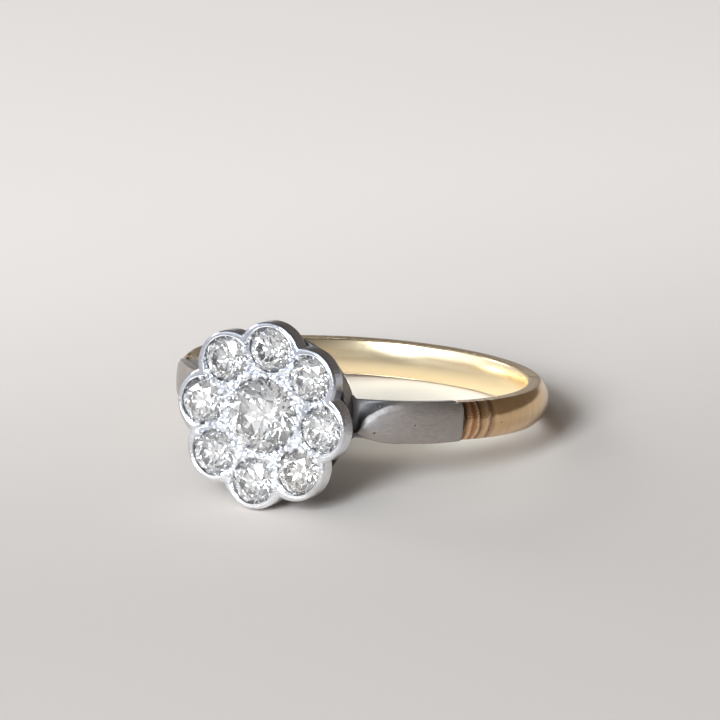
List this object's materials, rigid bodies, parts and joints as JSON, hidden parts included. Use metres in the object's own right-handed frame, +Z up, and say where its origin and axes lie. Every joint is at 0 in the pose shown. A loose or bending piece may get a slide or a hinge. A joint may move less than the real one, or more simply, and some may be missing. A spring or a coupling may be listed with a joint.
{
  "type": "cluster ring",
  "caption": "Finger ring: a flower-shaped head of round stones on a pierced white metal gallery, shoulders with flat spears and a plain yellow metal hoop.",
  "frame": {"origin": "on the ground, under the middle of the ring's extents in X and Y", "axes": "+X to the right as the head is faced, +Y from the head to the back of the hoop, +Z up from the ground the ring lies on"},
  "size_m": [0.019, 0.021, 0.0094],
  "materials": {
    "yellow_metal": "polished and worn, with reddish solder marks beside the seams",
    "white_metal": "polished grey-white metal, satin on the flat spears",
    "stone": "clear faceted stone"
  },
  "bodies": {
    "root": {"band": "yellow_metal", "setting": "white_metal", "stone_centre": "stone", "stone_1": "stone", "stone_2": "stone", "stone_3": "stone", "stone_4": "stone", "stone_5": "stone", "stone_6": "stone", "stone_7": "stone", "stone_8": "stone"}
  },
  "joints": []
}
